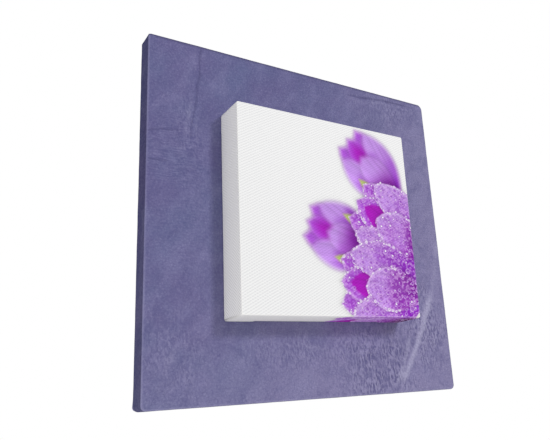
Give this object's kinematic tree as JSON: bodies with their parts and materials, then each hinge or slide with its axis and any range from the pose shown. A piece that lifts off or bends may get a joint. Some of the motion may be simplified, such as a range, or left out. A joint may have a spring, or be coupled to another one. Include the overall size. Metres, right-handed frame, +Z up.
{
  "type": "stretched canvas",
  "caption": "Square gallery-wrapped printed canvas mounted proud on a larger leather-covered stretcher panel, with battens, wedge keys and D-ring hangers behind.",
  "frame": {"origin": "middle of the square panel, on the wall plane that its bumpers and hangers stand against", "axes": "+X to the right as one looks at the picture, +Y back into the wall, +Z up; the picture faces -Y"},
  "size_m": [0.356, 0.0665, 0.356],
  "materials": {
    "leather": "smooth dyed leather, soft sheen",
    "print": "matt printed cotton canvas",
    "pine": "planed, unfinished",
    "beech": "sawn, unfinished",
    "plated_steel": "bright zinc plate",
    "staple_steel": "galvanised wire",
    "rubber": "matt"
  },
  "bodies": {
    "panel": {"leather_cover": "leather", "panel_bar_top": "pine", "panel_bar_right": "pine", "panel_bar_bottom": "pine", "panel_bar_left": "pine", "batten_left": "pine", "batten_right": "pine", "printed_canvas": "print", "canvas_bar_top": "pine", "canvas_bar_right": "pine", "canvas_bar_bottom": "pine", "canvas_bar_left": "pine", "v_nail_top_right": "staple_steel", "v_nail_right_bottom": "staple_steel", "v_nail_bottom_left": "staple_steel", "v_nail_left_top": "staple_steel", "mount_screw_upper_left": "plated_steel", "mount_screw_upper_right": "plated_steel", "mount_screw_lower_left": "plated_steel", "mount_screw_lower_right": "plated_steel", "mount_washer_upper_left": "plated_steel", "mount_washer_upper_right": "plated_steel", "mount_washer_lower_left": "plated_steel", "mount_washer_lower_right": "plated_steel", "staple_top_1": "staple_steel", "staple_top_2": "staple_steel", "staple_top_3": "staple_steel", "staple_top_4": "staple_steel", "staple_top_5": "staple_steel", "staple_right_1": "staple_steel", "staple_right_2": "staple_steel", "staple_right_3": "staple_steel", "staple_right_4": "staple_steel", "staple_right_5": "staple_steel", "staple_bottom_1": "staple_steel", "staple_bottom_2": "staple_steel", "staple_bottom_3": "staple_steel", "staple_bottom_4": "staple_steel", "staple_bottom_5": "staple_steel", "staple_left_1": "staple_steel", "staple_left_2": "staple_steel", "staple_left_3": "staple_steel", "staple_left_4": "staple_steel", "staple_left_5": "staple_steel", "hanger_strap_left": "plated_steel", "hanger_strap_right": "plated_steel", "hanger_screw_left": "plated_steel", "hanger_screw_right": "plated_steel", "bumper_left": "rubber", "bumper_right": "rubber"},
    "key_top_left": {"key_top_left": "beech"},
    "key_top_right": {"key_top_right": "beech"},
    "key_right_top": {"key_right_top": "beech"},
    "key_right_bottom": {"key_right_bottom": "beech"},
    "key_bottom_right": {"key_bottom_right": "beech"},
    "key_bottom_left": {"key_bottom_left": "beech"},
    "key_left_bottom": {"key_left_bottom": "beech"},
    "key_left_top": {"key_left_top": "beech"},
    "d_ring_left": {"d_ring_left": "plated_steel"},
    "d_ring_right": {"d_ring_right": "plated_steel"}
  },
  "joints": [
    {"name": "key_top_left_slide", "type": "slide", "parent": "panel", "child": "key_top_left", "axis": [0, 0, -1], "range_m": [0, 0.022]},
    {"name": "key_top_right_slide", "type": "slide", "parent": "panel", "child": "key_top_right", "axis": [0, 0, -1], "range_m": [0, 0.022]},
    {"name": "key_right_top_slide", "type": "slide", "parent": "panel", "child": "key_right_top", "axis": [-1, 0, 0], "range_m": [0, 0.022]},
    {"name": "key_right_bottom_slide", "type": "slide", "parent": "panel", "child": "key_right_bottom", "axis": [-1, 0, 0], "range_m": [0, 0.022]},
    {"name": "key_bottom_right_slide", "type": "slide", "parent": "panel", "child": "key_bottom_right", "axis": [0, 0, 1], "range_m": [0, 0.022]},
    {"name": "key_bottom_left_slide", "type": "slide", "parent": "panel", "child": "key_bottom_left", "axis": [0, 0, 1], "range_m": [0, 0.022]},
    {"name": "key_left_bottom_slide", "type": "slide", "parent": "panel", "child": "key_left_bottom", "axis": [1, 0, 0], "range_m": [0, 0.022]},
    {"name": "key_left_top_slide", "type": "slide", "parent": "panel", "child": "key_left_top", "axis": [1, 0, 0], "range_m": [0, 0.022]},
    {"name": "d_ring_left_swing", "type": "hinge", "parent": "panel", "child": "d_ring_left", "pos_m": [-0.1575, -0.0029, 0.083], "axis": [-1, 0, 0], "range_deg": [0, 180]},
    {"name": "d_ring_right_swing", "type": "hinge", "parent": "panel", "child": "d_ring_right", "pos_m": [0.1575, -0.0029, 0.083], "axis": [-1, 0, 0], "range_deg": [0, 180]}
  ]
}
